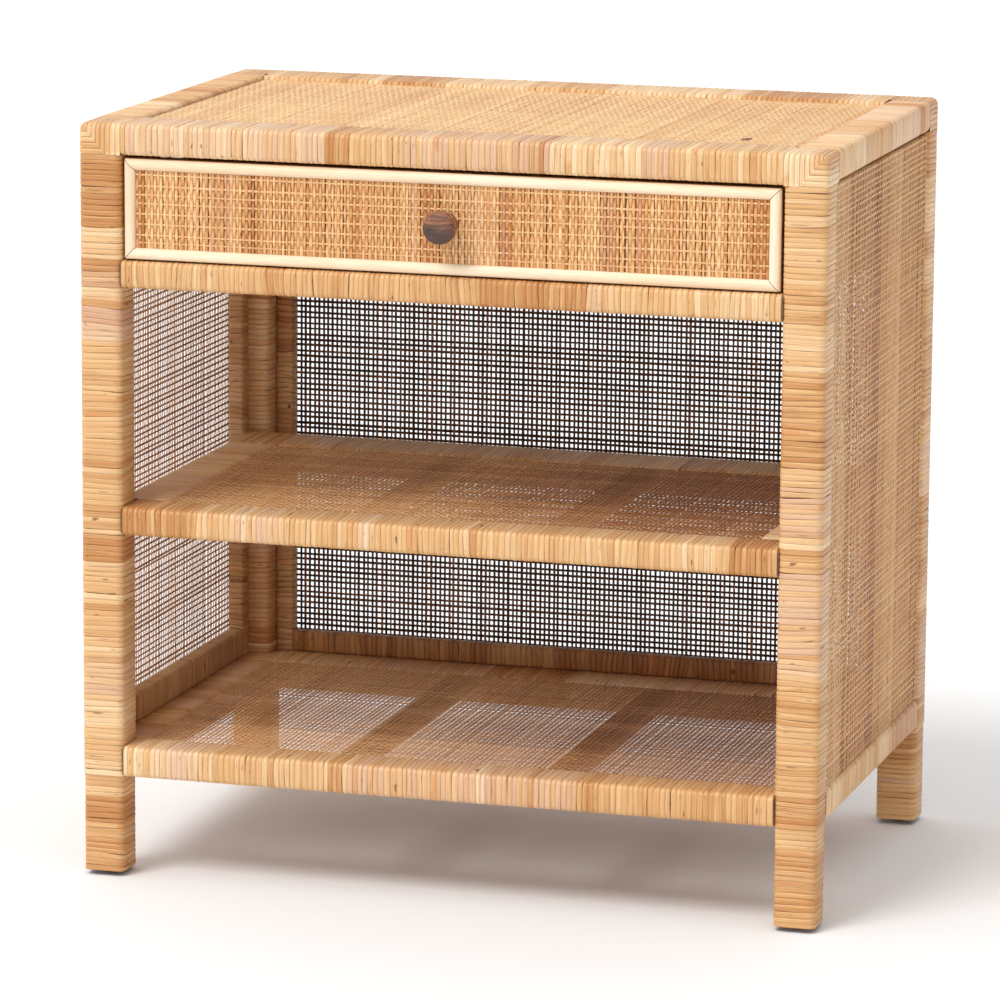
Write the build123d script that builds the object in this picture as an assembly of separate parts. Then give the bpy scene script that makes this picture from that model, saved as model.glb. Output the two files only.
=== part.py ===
from build123d import *
import os

# Bedside table with one drawer over two open shelves: a doweled hardwood frame wound with
# split rattan peel, with woven cane panels. Millimetres, +Z up, front faces -Y.
# The origin is on the floor, under the middle of the part's bounding box.

# ---- overall sizes
width = 600.0                 # over the legs, side to side
depth = 395.0                 # over the legs, front to back
height = 604.0                # floor to the rim of the top

# ---- winding and cane
peel = 1.2                    # thickness of the wound rattan peel on legs and rails
panel_peel = 1.0              # thickness of the peel on the thin panel frames
cane = 1.6                    # thickness of the woven cane
cane_tuck = 7.0               # how far a cane sheet is let into the rails round it
cane_edge = 1.2               # thickness of its edge, pressed flat in the groove

# ---- legs and rails (sizes over the winding)
leg = 35.0                    # square section of each leg
leg_corner = 6.0              # outer corner radius of a leg
rail_corner = 4.5             # outer corner radius of a rail
foot_clearance = 78.0         # bare leg under the bottom rails
bottom_rail_height = 25.0
lower_bay = 170.5             # clear height of the lower compartment
middle_rail_height = 23.0
drawer_rail_height = 22.0
drawer_opening = 82.5         # clear height of the drawer opening
top_rail_height = 25.0
top_rail_reach = 15.0         # front and back rails of the top frame, in past the legs
drawer_rail_reach = 3.0       # drawer rail, in past the legs
middle_front_reach = 7.0      # front rail of the middle shelf, in past the legs
middle_back_depth = 58.0
middle_side_width = 42.0
bottom_front_reach = 3.0      # rails of the bottom shelf, in past the legs
bottom_back_reach = 20.0
bottom_side_reach = 9.0

# ---- top panel and shelf panels
top_recess = 3.0              # cane of the top below the rim
top_board_thickness = 9.0
shelf_recess = 1.5            # cane of a shelf below its rails
slat_width = 25.0
slat_thickness = 8.0

# ---- side and back panels, each a thin frame with cane on its outer face
panel_recess = 2.0            # outer face of the cane behind the outer face of the legs
panel_thickness = 14.0
stile_width = 16.0
panel_upper_rail = 18.0
side_lower_rail = 24.0
back_lower_rail = 18.0
panel_corner = 3.0
panel_gap = 2.0               # between a panel's top and the rail over it

# ---- drawer
drawer_side_gap = 2.0
drawer_top_gap = 2.4
drawer_bottom_gap = 1.2
drawer_setback = 1.0          # crown of the beading behind the face of the legs
bead_width = 9.0
bead_rise = 5.0
drawer_cane = 1.8
front_board_thickness = 14.0
box_back_gap = 37.4           # behind the drawer box, to the frame of the back panel
box_height = 66.0
box_wall = 10.0
box_inset = 10.0              # box side inside the end of the front
bottom_thickness = 4.0
bottom_tongue = 3.0           # thickness of its edges, in the grooves and under the back
bottom_groove = 4.0           # how deep the bottom is let into the sides
bottom_lift = 8.0             # underside of the bottom above the lower edge of the sides
run_clearance = 0.5           # under the drawer sides
guide_clearance = 0.8         # beside the drawer sides
runner_base = 14.0
runner_ledge = 12.0           # width of runner under a drawer side
runner_lip = 10.0             # lip that guides the drawer side
runner_lap = 10.0             # width of runner that meets the back leg
stop_width = 24.0
stop_depth = 10.0
stop_height = 6.0
stop_clearance = 0.4
stop_offset = 150.0           # stops from the middle of the drawer rail

# ---- knob and hardware
knob_length = 28.0
knob_base_radius = 8.6
knob_neck_radius = 7.4
knob_head_radius = 11.8
knob_neck_place = 5.0         # narrowest place of the neck above the knob's seat
knob_lip = 11.0               # thickness of the head at its edge
knob_bulge = 1.2              # rise of that edge in its middle
knob_crown = 2.4              # rise of the head's face
screw_radius = 2.0
screw_head_radius = 4.2
screw_head_height = 2.6
screw_bite = 13.0             # screw inside the knob
hole_clearance = 0.2          # radial, round screws and dowels
glide_radius = 8.5
glide_height = 4.0
glide_flat = 3.0              # radius of the flat that meets the floor
glide_nail_radius = 1.25
glide_nail_length = 14.0
dowel_radius = 3.0
dowel_bite = 12.0             # dowel in each of the two pieces it joins
dowel_stagger = 5.0           # dowels of crossing rails, above and below the rail's middle
dowel_leg_wall = 0.6          # between a side rail's dowel and the leg beside it

# ---- places worked out from the sizes above
half = width / 2
front_setback = drawer_setback + bead_rise - drawer_cane
knob_reach = knob_length - front_setback
front = -(depth - knob_reach) / 2
back = front + depth
inner = half - leg
top_rail_depth = leg + top_rail_reach
drawer_rail_depth = leg + drawer_rail_reach
middle_front_depth = leg + middle_front_reach
bottom_front_depth = leg + bottom_front_reach
bottom_back_depth = leg + bottom_back_reach
bottom_side_width = leg + bottom_side_reach
z_leg = glide_height
z_top = height
z_top_rail = z_top - top_rail_height
z_drawer_rail_top = z_top_rail - drawer_opening
z_drawer_rail = z_drawer_rail_top - drawer_rail_height
z_bottom_rail = z_leg + foot_clearance
z_bottom_top = z_bottom_rail + bottom_rail_height
z_middle_rail = z_bottom_top + lower_bay
z_middle_top = z_middle_rail + middle_rail_height
z_panel_top = z_top_rail - panel_gap
panel_out = half - panel_recess - cane
panel_in = panel_out - panel_thickness
back_out = back - panel_recess - cane
back_in = back_out - panel_thickness

nodes = {}


def block(x0, x1, y0, y1, z0, z1):
    centre = Pos((x0 + x1) / 2, (y0 + y1) / 2, (z0 + z1) / 2)
    return centre * Box(x1 - x0, y1 - y0, z1 - z0)


def bar(span, along, radius, inset=0.0):
    """A straight bar with its four long edges rounded; inset shrinks its section only."""
    grow = [(0.0 if axis == along else inset) for axis in "XYZ"]
    x0, x1, y0, y1, z0, z1 = span
    solid = block(x0 + grow[0], x1 - grow[0], y0 + grow[1], y1 - grow[1], z0 + grow[2], z1 - grow[2])
    long_edges = solid.edges().filter_by({"X": Axis.X, "Y": Axis.Y, "Z": Axis.Z}[along])
    return fillet(long_edges, radius - inset)


def rod(start, axis, length, radius):
    """A cylinder that starts at a point and runs along +X, +Y or +Z."""
    turn = {"X": (0, 90, 0), "Y": (-90, 0, 0), "Z": (0, 0, 0)}[axis]
    up = (Align.CENTER, Align.CENTER, Align.MIN)
    return Pos(*start) * Rot(*turn) * Cylinder(radius, length, align=up)


def mirrored(solid):
    return mirror(solid, about=Plane.YZ)


# ---- legs: a core of hardwood and a sleeve of wound peel on each
leg_spans = {
    "leg_front_left": (-half, -inner, front, front + leg, z_leg, z_top),
    "leg_front_right": (inner, half, front, front + leg, z_leg, z_top),
    "leg_back_left": (-half, -inner, back - leg, back, z_leg, z_top),
    "leg_back_right": (inner, half, back - leg, back, z_leg, z_top),
}
cores = {}
sleeves = {}
for name, span in leg_spans.items():
    cores[name] = bar(span, "Z", leg_corner, peel)
    sleeves[name] = bar(span, "Z", leg_corner) - cores[name]

# ---- rails: name, span over the winding, and the way the rail runs
middle_back_front = back - leg - middle_back_depth
rail_spans = {
    "top_rail_front": ((-inner, inner, front, front + top_rail_depth, z_top_rail, z_top), "X"),
    "top_rail_back": ((-inner, inner, back - top_rail_depth, back, z_top_rail, z_top), "X"),
    "top_rail_left": ((-half, -inner, front + leg, back - leg, z_top_rail, z_top), "Y"),
    "drawer_rail": ((-inner, inner, front, front + drawer_rail_depth,
                     z_drawer_rail, z_drawer_rail_top), "X"),
    "middle_rail_front": ((-inner, inner, front, front + middle_front_depth,
                           z_middle_rail, z_middle_top), "X"),
    "middle_rail_back": ((-panel_in, panel_in, middle_back_front, back - leg,
                          z_middle_rail, z_middle_top), "X"),
    "middle_rail_left": ((-panel_in, -panel_in + middle_side_width, front + middle_front_depth,
                          middle_back_front, z_middle_rail, z_middle_top), "Y"),
    "bottom_rail_front": ((-inner, inner, front, front + bottom_front_depth,
                           z_bottom_rail, z_bottom_top), "X"),
    "bottom_rail_back": ((-inner, inner, back - bottom_back_depth, back,
                          z_bottom_rail, z_bottom_top), "X"),
    "bottom_rail_left": ((-half, -half + bottom_side_width, front + leg, back - leg,
                          z_bottom_rail, z_bottom_top), "Y"),
}


def into_legs(span, along):
    """The core of a rail between legs runs through their winding and meets their wood."""
    x0, x1, y0, y1, z0, z1 = span
    if along == "X":
        return (x0 - peel, x1 + peel, y0, y1, z0, z1)
    return (x0, x1, y0 - peel, y1 + peel, z0, z1)


free_of_legs = ("middle_rail_back", "middle_rail_left")
bars = {}
for name, (span, along) in rail_spans.items():
    core_span = span if name in free_of_legs else into_legs(span, along)
    bars[name] = bar(span, along, rail_corner)
    cores[name] = bar(core_span, along, rail_corner, peel)
    sleeves[name] = bars[name] - cores[name]

# The side rails of the top and of the bottom shelf are notched round the front and back rails.
for level in ("top", "bottom"):
    side_rail = level + "_rail_left"
    for place in ("front", "back"):
        x0, x1, y0, y1, z0, z1 = rail_spans[level + "_rail_" + place][0]
        notch = block(x0 - peel, x1 + peel, y0, y1, z0, z1)
        cores[side_rail] = cores[side_rail] - notch
        sleeves[side_rail] = sleeves[side_rail] - notch

# The core of the middle side rails meets the wood of the rails at its ends.
x0, x1, y0, y1, z0, z1 = rail_spans["middle_rail_left"][0]
cores["middle_rail_left"] = bar((x0, x1, y0 - peel, y1 + peel, z0, z1), "Y", rail_corner, peel)
for name in ("middle_rail_front", "middle_rail_back"):
    sleeves[name] = sleeves[name] - cores["middle_rail_left"] - mirrored(cores["middle_rail_left"])

for level in ("top", "middle", "bottom"):
    cores[level + "_rail_right"] = mirrored(cores[level + "_rail_left"])
    sleeves[level + "_rail_right"] = mirrored(sleeves[level + "_rail_left"])

# ---- side and back panel frames: two stiles with an upper and a lower rail between them
stile_back_edge = back - leg - stile_width
stile_front_edge = front + leg + stile_width
back_stile_edge = inner - stile_width
panel_spans = {
    "side_stile_front": ((panel_in, panel_out, front + leg, stile_front_edge,
                          z_bottom_top, z_panel_top), "Z"),
    "side_stile_back": ((panel_in, panel_out, stile_back_edge, back - leg,
                         z_bottom_top, z_panel_top), "Z"),
    "side_lower_rail": ((panel_in, panel_out, stile_front_edge, stile_back_edge,
                         z_bottom_top, z_bottom_top + side_lower_rail), "Y"),
    "side_upper_rail": ((panel_in, panel_out, stile_front_edge, stile_back_edge,
                         z_panel_top - panel_upper_rail, z_panel_top), "Y"),
    "back_stile": ((back_stile_edge, inner, back_in, back_out, z_bottom_top, z_panel_top), "Z"),
    "back_lower_rail": ((-back_stile_edge, back_stile_edge, back_in, back_out,
                         z_bottom_top, z_bottom_top + back_lower_rail), "X"),
    "back_upper_rail": ((-back_stile_edge, back_stile_edge, back_in, back_out,
                         z_panel_top - panel_upper_rail, z_panel_top), "X"),
}
panel_sleeves = []
for name, (span, along) in panel_spans.items():
    core = bar(span, along, panel_corner, panel_peel)
    sleeve = bar(span, along, panel_corner) - core
    panel_sleeves.append(sleeve)
    if name in ("back_lower_rail", "back_upper_rail"):
        nodes[name] = core
        continue
    nodes[name + "_right"] = core
    nodes[name + "_left"] = mirrored(core)
    panel_sleeves.append(mirrored(sleeve))

def let_in_sheet(x, y0, y1, z0, thickness, edge, tuck):
    """A sheet whose open field fills x and y; its thinner edge goes on into the pieces round it."""
    field = block(-x, x, y0, y1, z0, z0 + thickness)
    return field + block(-x - tuck, x + tuck, y0 - tuck, y1 + tuck, z0, z0 + edge)


# ---- top board with its cane, let into the top rails
z_top_cane = z_top - top_recess
z_board = z_top_cane - cane
board_x = inner + cane_tuck
board_front = front + top_rail_depth
board_back = back - top_rail_depth
top_board = block(-board_x, board_x, board_front - cane_tuck, board_back + cane_tuck,
                  z_board - top_board_thickness, z_board)
top_cane = let_in_sheet(inner, board_front, board_back, z_board, cane, cane_edge, cane_tuck)
nodes["top_board"] = top_board
nodes["top_cane"] = top_cane

# ---- shelf cane and the slats under it
shelf_sheets = {}
for level, side_x, y0, y1, z in (
    ("middle", panel_in - middle_side_width, front + middle_front_depth, middle_back_front,
     z_middle_top),
    ("bottom", half - bottom_side_width, front + bottom_front_depth, back - bottom_back_depth,
     z_bottom_top),
):
    z_sheet = z - shelf_recess - cane
    sheet = let_in_sheet(side_x, y0, y1, z_sheet, cane, cane_edge, cane_tuck)
    shelf_sheets[level] = sheet
    slat_x = side_x / 3
    slats = [
        block(x - slat_width / 2, x + slat_width / 2, y0, y1, z_sheet - slat_thickness, z_sheet)
        for x in (-slat_x, slat_x)
    ]
    nodes[level + "_shelf_cane"] = sheet
    nodes[level + "_shelf_slats"] = Compound(children=slats)

# ---- grooves for the board and the cane in the rails and in their winding
let_in = {"top": top_board + top_cane, "middle": shelf_sheets["middle"],
          "bottom": shelf_sheets["bottom"]}
for level, sheet in let_in.items():
    for place in ("front", "back", "left", "right"):
        name = level + "_rail_" + place
        cores[name] = cores[name] - sheet
        sleeves[name] = sleeves[name] - sheet
for name in leg_spans:
    cores[name] = cores[name] - let_in["top"]
    sleeves[name] = sleeves[name] - let_in["top"]

# ---- cane of the sides and the back
side_cane = block(panel_out, panel_out + cane, front + leg, back - leg, z_bottom_top, z_panel_top)
nodes["side_cane_right"] = side_cane
nodes["side_cane_left"] = mirrored(side_cane)
nodes["back_cane"] = block(-inner, inner, back_out, back_out + cane, z_bottom_top, z_panel_top)

# ---- dowels: start point, axis and the two pieces that each one joins
leg_x = half - leg / 2
leg_ys = {"front": front + leg / 2, "back": back - leg / 2}
dowels = []
for rail, place in (("top_rail_front", "front"), ("top_rail_back", "back"),
                    ("drawer_rail", "front"), ("middle_rail_front", "front"),
                    ("bottom_rail_front", "front"), ("bottom_rail_back", "back")):
    z0, z1 = rail_spans[rail][0][4:]
    z = (z0 + z1) / 2 + dowel_stagger
    start = (inner + peel - dowel_bite, leg_ys[place], z)
    dowels.append((start, "X", rail, "leg_" + place + "_right", True))
for rail in ("top_rail_left", "bottom_rail_left"):
    x0, x1, y0, y1, z0, z1 = rail_spans[rail][0]
    z = (z0 + z1) / 2 - dowel_stagger
    name = rail.replace("left", "right")
    for y, place in ((front + leg - peel, "front"), (back - leg + peel, "back")):
        dowels.append(((leg_x, y - dowel_bite, z), "Y", name, "leg_" + place + "_right", True))
x0, x1, y0, y1, z0, z1 = rail_spans["middle_rail_left"][0]
z = (z0 + z1) / 2 - dowel_stagger
side_dowel_x = inner - dowel_radius - dowel_leg_wall
for y, rail in ((y0 - peel, "middle_rail_front"), (y1 + peel, "middle_rail_back")):
    start = (side_dowel_x, y - dowel_bite, z)
    dowels.append((start, "Y", "middle_rail_right", rail, False))
start = (inner + (panel_in - inner) / 2, back - leg - dowel_bite, z)
dowels.append((start, "Y", "middle_rail_back", "leg_back_right", False))

pins = []
for start, axis, first, second, _ in dowels:
    pin = rod(start, axis, 2 * dowel_bite, dowel_radius)
    hole = rod(start, axis, 2 * dowel_bite, dowel_radius + hole_clearance)
    pins += [pin, mirrored(pin)]
    for name in (first, second):
        if name.endswith("_right"):
            pairs = ((name, hole), (name[:-5] + "left", mirrored(hole)))
        else:
            pairs = ((name, hole), (name, mirrored(hole)))
        for owner, tool in pairs:
            cores[owner] = cores[owner] - tool
            sleeves[owner] = sleeves[owner] - tool
nodes["frame_dowels"] = Compound(children=pins)

# ---- the legs' winding opens round the cores of the rails that meet them
for name in leg_spans:
    for rail in rail_spans:
        if rail in free_of_legs:
            continue
        for core in (cores[rail], mirrored(cores[rail])):
            sleeves[name] = sleeves[name] - core

# ---- glides nailed under the legs
glide_profile = make_face([
    Line((0, 0), (glide_flat, 0)),
    ThreePointArc((glide_flat, 0), (glide_radius * 0.8, glide_height * 0.35),
                  (glide_radius, glide_height)),
    Line((glide_radius, glide_height), (glide_nail_radius, glide_height)),
    Line((glide_nail_radius, glide_height), (glide_nail_radius, glide_height + glide_nail_length)),
    Line((glide_nail_radius, glide_height + glide_nail_length),
         (0, glide_height + glide_nail_length)),
    Line((0, glide_height + glide_nail_length), (0, 0)),
])
glide = revolve(Plane.XZ * glide_profile, Axis.Z)
glides = []
for x in (-leg_x, leg_x):
    for place, y in leg_ys.items():
        glides.append(Pos(x, y, 0) * glide)
        side = "left" if x < 0 else "right"
        nail_hole = rod((x, y, z_leg), "Z", glide_nail_length, glide_nail_radius)
        name = "leg_" + place + "_" + side
        cores[name] = cores[name] - nail_hole
nodes["foot_glides"] = Compound(children=glides)

# ---- winding nodes
for name, core in cores.items():
    nodes[name] = core
leg_sleeves = [sleeves[name] for name in leg_spans]
nodes["leg_winding"] = Compound(children=leg_sleeves)
top_names = ["top_rail_" + place for place in ("front", "back", "left", "right")]
nodes["top_frame_winding"] = Compound(children=[sleeves[name] for name in top_names])
nodes["drawer_rail_winding"] = sleeves["drawer_rail"]
shelf_names = [level + "_rail_" + place for level in ("middle", "bottom")
               for place in ("front", "back", "left", "right")]
nodes["shelf_frame_winding"] = Compound(children=[sleeves[name] for name in shelf_names])
nodes["panel_frame_winding"] = Compound(children=panel_sleeves)

# ---- drawer front: board, cane and mitred half-round beading
front_half = inner - drawer_side_gap
z_front_low = z_drawer_rail_top + drawer_bottom_gap
z_front_high = z_top_rail - drawer_top_gap
z_front_mid = (z_front_low + z_front_high) / 2
y_board = front + drawer_setback + bead_rise
y_board_back = y_board + front_board_thickness
front_board = block(-front_half, front_half, y_board, y_board_back, z_front_low, z_front_high)
cane_x = front_half - bead_width
front_cane = block(-cane_x, cane_x, y_board - drawer_cane, y_board,
                   z_front_low + bead_width, z_front_high - bead_width)


def bead_rod(length):
    """Half-round bead along X: flat back on the board plane, middle of its length at x = 0."""
    w = bead_width / 2
    face = make_face([
        Line((w, 0), (-w, 0)),
        ThreePointArc((-w, 0), (0, bead_rise), (w, 0)),
    ])
    turned = Plane(origin=(-length / 2, 0, 0), x_dir=(0, 0, 1), z_dir=(1, 0, 0)) * face
    return extrude(turned, amount=length)


def mitred(length):
    """The bead with 45 degree ends; its outer edge, at +Z, is the long one."""
    w = bead_width / 2
    outline = make_face(Polyline((-length / 2, w), (length / 2, w), (length / 2 - bead_width, -w),
                                 (-length / 2 + bead_width, -w), close=True))
    wedge = extrude(Plane.XZ.offset(-bead_rise) * outline, amount=2 * bead_rise)
    return bead_rod(length) & wedge


front_height = z_front_high - z_front_low
across = mitred(2 * front_half)
upright = mitred(front_height)
half_bead = bead_width / 2
nodes["bead_top"] = Pos(0, y_board, z_front_high - half_bead) * across
nodes["bead_bottom"] = Pos(0, y_board, z_front_low + half_bead) * Rot(0, 180, 0) * across
nodes["bead_right"] = Pos(front_half - half_bead, y_board, z_front_mid) * Rot(0, 90, 0) * upright
nodes["bead_left"] = Pos(-front_half + half_bead, y_board, z_front_mid) * Rot(0, -90, 0) * upright

# ---- drawer box
box_x = front_half - box_inset
z_box = z_front_low + run_clearance
z_bottom = z_box + bottom_lift
box_end = back_in - box_back_gap
box_in = box_x - box_wall
bottom_field = block(-box_in, box_in, y_board_back, box_end - box_wall,
                     z_bottom, z_bottom + bottom_thickness)
bottom = bottom_field + block(-box_in - bottom_groove, box_in + bottom_groove,
                              y_board_back - bottom_groove, box_end,
                              z_bottom, z_bottom + bottom_tongue)
side = block(box_in, box_x, y_board_back, box_end, z_box, z_box + box_height) - bottom
nodes["drawer_side_right"] = side
nodes["drawer_side_left"] = mirrored(side)
nodes["drawer_back"] = block(-box_in, box_in, box_end - box_wall, box_end,
                             z_bottom + bottom_tongue, z_box + box_height)
nodes["drawer_bottom"] = bottom

# ---- knob, turned about Y, and the screw that holds it from inside the drawer
z_knob = z_front_mid
knob_head_place = knob_length - knob_crown - knob_lip
y_seat = y_board - drawer_cane
# The face of the head is a spherical cap; crown_sag is its drop at half its radius.
crown_radius = (knob_head_radius ** 2 + knob_crown ** 2) / (2 * knob_crown)
crown_sag = crown_radius - (crown_radius ** 2 - knob_head_radius ** 2 / 4) ** 0.5
knob_profile = make_face([
    Line((0, 0), (knob_base_radius, 0)),
    ThreePointArc((knob_base_radius, 0), (knob_neck_radius, knob_neck_place),
                  (knob_head_radius, knob_head_place)),
    ThreePointArc((knob_head_radius, knob_head_place),
                  (knob_head_radius + knob_bulge, knob_head_place + knob_lip / 2),
                  (knob_head_radius, knob_head_place + knob_lip)),
    ThreePointArc((knob_head_radius, knob_head_place + knob_lip),
                  (knob_head_radius / 2, knob_length - crown_sag), (0, knob_length)),
    Line((0, knob_length), (0, 0)),
])
knob = revolve(knob_profile, Axis.Y)
screw_length = front_board_thickness + drawer_cane + screw_bite
screw_start = (0, y_seat - screw_bite, z_knob)
screw = rod(screw_start, "Y", screw_length, screw_radius)
screw_hole = rod(screw_start, "Y", screw_length, screw_radius + hole_clearance)
screw_head = rod((0, y_board_back, z_knob), "Y", screw_head_height, screw_head_radius)
nodes["knob"] = Pos(0, y_seat, z_knob) * Rot(180, 0, 0) * knob - screw_hole
nodes["knob_screw"] = screw + screw_head
nodes["drawer_front_board"] = front_board - screw_hole - bottom
nodes["drawer_front_cane"] = front_cane - screw_hole

# ---- runners under the drawer sides, and the stops behind the drawer front
runner_in = box_x - runner_ledge
runner_out = inner + runner_lap
runner_front = front + drawer_rail_depth
z_run = z_box - run_clearance
runner = block(runner_in, runner_out, runner_front, back - leg, z_run - runner_base, z_run)
lip = block(box_x + guide_clearance, runner_out, runner_front, back - leg, z_run, z_run + runner_lip)
nodes["drawer_runner_right"] = runner + lip
nodes["drawer_runner_left"] = mirrored(runner + lip)
stop_front = y_board_back + stop_clearance
stops = [
    block(x - stop_width / 2, x + stop_width / 2, stop_front, stop_front + stop_depth,
          z_drawer_rail_top, z_drawer_rail_top + stop_height)
    for x in (-stop_offset, stop_offset)
]
nodes["drawer_stops"] = Compound(children=stops)

os.makedirs("parts", exist_ok=True)
for name, shape in nodes.items():
    export_step(shape, "parts/" + name + ".step")
print(len(nodes), "nodes")
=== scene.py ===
import bpy
import math
import numpy as np
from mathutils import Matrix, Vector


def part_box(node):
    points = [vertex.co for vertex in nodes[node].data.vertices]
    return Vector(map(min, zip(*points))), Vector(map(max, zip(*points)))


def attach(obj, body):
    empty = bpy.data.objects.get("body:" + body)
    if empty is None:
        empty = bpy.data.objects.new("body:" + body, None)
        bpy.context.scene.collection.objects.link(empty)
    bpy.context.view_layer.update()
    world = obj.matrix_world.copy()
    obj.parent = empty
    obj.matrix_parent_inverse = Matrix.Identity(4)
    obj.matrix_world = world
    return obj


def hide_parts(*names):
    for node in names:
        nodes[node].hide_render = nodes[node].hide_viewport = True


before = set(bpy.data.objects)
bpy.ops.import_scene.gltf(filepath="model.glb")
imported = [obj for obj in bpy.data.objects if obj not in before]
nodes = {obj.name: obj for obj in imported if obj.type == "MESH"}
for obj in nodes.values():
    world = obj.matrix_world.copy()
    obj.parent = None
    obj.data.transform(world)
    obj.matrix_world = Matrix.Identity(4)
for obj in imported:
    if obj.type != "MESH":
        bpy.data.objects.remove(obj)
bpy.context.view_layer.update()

# ---- The hardwood frame: sawn square posts and rails, dowelled together. Most of it is
# ---- under the winding, so it shows only between the strips, and dark, as in a gap.

MM = 0.001


def node(tree, kind, inputs=(), **fields):
    """One shader node: fields are its own settings; inputs gives each socket a value or a link."""
    made = tree.nodes.new("ShaderNode" + kind)
    for name, value in fields.items():
        setattr(made, name, value)
    for key, value in dict(inputs).items():
        if isinstance(value, bpy.types.NodeSocket):
            tree.links.new(value, made.inputs[key])
        else:
            made.inputs[key].default_value = value
    return made


def maths(tree, operation, first, second=0.0, third=0.0):
    """The result of one Math node. MULTIPLY_ADD is first times second, plus third."""
    made = node(tree, "Math", {0: first, 1: second, 2: third}, operation=operation)
    return made.outputs[0]


def remap(tree, value, low, high, to_low, to_high):
    """The value carried from low..high to to_low..to_high along an S curve, held at both ends."""
    made = node(tree, "MapRange", {0: value, 1: low, 2: high, 3: to_low, 4: to_high},
                interpolation_type="SMOOTHSTEP")
    return made.outputs[0]


def mixed(tree, share, first, second, blend="MIX"):
    """Two colours blended: share 0 gives the first, 1 the second."""
    made = node(tree, "Mix", {0: share, 6: first, 7: second}, data_type="RGBA", blend_type=blend)
    return made.outputs[2]


def noise(tree, place, scale, detail=2.0, stretch=(1.0, 1.0, 1.0)):
    """Soft noise, 0 to 1, of a place that is first stretched along its axes."""
    spread = node(tree, "Mapping", {"Vector": place, "Scale": stretch})
    made = node(tree, "TexNoise", {"Vector": spread.outputs[0], "Scale": scale, "Detail": detail})
    return made.outputs[0]


def effect(name, inputs, outputs):
    """A node group with named sockets; gives the group, its inputs' sockets and its output node."""
    group = bpy.data.node_groups.new(name, "ShaderNodeTree")
    for label, value in inputs.items():
        kind = "Float" if isinstance(value, float) else "Color" if len(value) == 4 else "Vector"
        socket = group.interface.new_socket(label, in_out="INPUT", socket_type="NodeSocket" + kind)
        socket.default_value = value
    for label, kind in outputs.items():
        group.interface.new_socket(label, in_out="OUTPUT", socket_type="NodeSocket" + kind)
    ins = group.nodes.new("NodeGroupInput").outputs
    return group, ins, group.nodes.new("NodeGroupOutput")


def finish_outputs(group, out, **values):
    """Links each value to the group output of the same name."""
    for label, socket in values.items():
        group.links.new(socket, out.inputs[label])


def colour(red, green, blue):
    """A colour given in the usual 0..255 screen values, as the linear RGBA that shaders take."""
    screen = np.array([red, green, blue]) / 255.0
    linear = np.where(screen <= 0.04045, screen / 12.92, ((screen + 0.055) / 1.055) ** 2.4)
    return (*map(float, linear), 1.0)


# Grain: long soft bands and fine pores. The material stretches both along the timber.
wood_grain, ins, out = effect(
    "wood grain",
    {"Place": (0.0, 0.0, 0.0), "Light": colour(220, 190, 150), "Dark": colour(150, 110, 70),
     "Bands": 60.0, "Pores": 900.0},
    {"Colour": "Color", "Roughness": "Float", "Height": "Float"},
)
bands = node(wood_grain, "TexNoise", {"Vector": ins["Place"], "Scale": ins["Bands"],
                                      "Detail": 4.0, "Distortion": 0.6}).outputs[0]
pores = node(wood_grain, "TexNoise", {"Vector": ins["Place"], "Scale": ins["Pores"],
                                      "Detail": 2.0}).outputs[0]
figure = maths(wood_grain, "MULTIPLY_ADD", bands, 0.7, maths(wood_grain, "MULTIPLY", pores, 0.3))
figure = remap(wood_grain, figure, 0.36, 0.64, 0.0, 1.0)
finish_outputs(
    wood_grain, out,
    Colour=mixed(wood_grain, figure, ins["Dark"], ins["Light"]),
    Roughness=maths(wood_grain, "MULTIPLY_ADD", pores, -0.2, 0.75),
    Height=pores,
)


def wood(name, light, dark, along, bands=40.0, pores=500.0, gloss=0.0):
    """A timber whose grain runs along one axis of the part: the place is squeezed along it."""
    material = bpy.data.materials.new(name)
    material.use_nodes = True
    tree = material.node_tree
    shader = tree.nodes["Principled BSDF"]
    place = node(tree, "TexCoord").outputs["Object"]
    squeeze = [0.05 if axis == along else 1.0 for axis in "XYZ"]
    spread = node(tree, "Mapping", {"Vector": place, "Scale": squeeze})
    grain = tree.nodes.new("ShaderNodeGroup")
    grain.node_tree = wood_grain
    for label, value in (("Light", light), ("Dark", dark), ("Bands", bands), ("Pores", pores)):
        grain.inputs[label].default_value = value
    tree.links.new(spread.outputs[0], grain.inputs["Place"])
    bump = node(tree, "Bump", {"Height": grain.outputs["Height"], "Distance": 0.2 * MM})
    tree.links.new(grain.outputs["Colour"], shader.inputs["Base Color"])
    tree.links.new(grain.outputs["Roughness"], shader.inputs["Roughness"])
    tree.links.new(bump.outputs[0], shader.inputs["Normal"])
    shader.inputs["Coat Weight"].default_value = gloss
    shader.inputs["Coat Roughness"].default_value = 0.35
    return material


def dress(names, material):
    """Gives CAD nodes this material in place of the plain one that they came with."""
    for name in names:
        nodes[name].data.materials.clear()
        nodes[name].data.materials.append(material)


core_light = colour(122, 84, 50)
core_dark = colour(74, 46, 26)
posts = [n for n in nodes if n.startswith("leg_") and n != "leg_winding"]
posts += [n for n in nodes if "stile" in n]
cross_rails = ["top_rail_front", "top_rail_back", "drawer_rail", "middle_rail_front",
               "middle_rail_back", "bottom_rail_front", "bottom_rail_back",
               "back_lower_rail", "back_upper_rail", "frame_dowels"]
side_rails = [n for n in nodes if "rail_left" in n or "rail_right" in n]
upright_wood = wood("hardwood upright", core_light, core_dark, "Z")
dress(posts, upright_wood)
dress(cross_rails, wood("hardwood across", core_light, core_dark, "X"))
dress(side_rails, wood("hardwood lengthways", core_light, core_dark, "Y"))

# ---- Split rattan peel: the glossy outer skin of the cane palm, cut into flat strips about
# ---- 4.4 mm wide, crowned across. Its colour changes from one length to the next.

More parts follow.
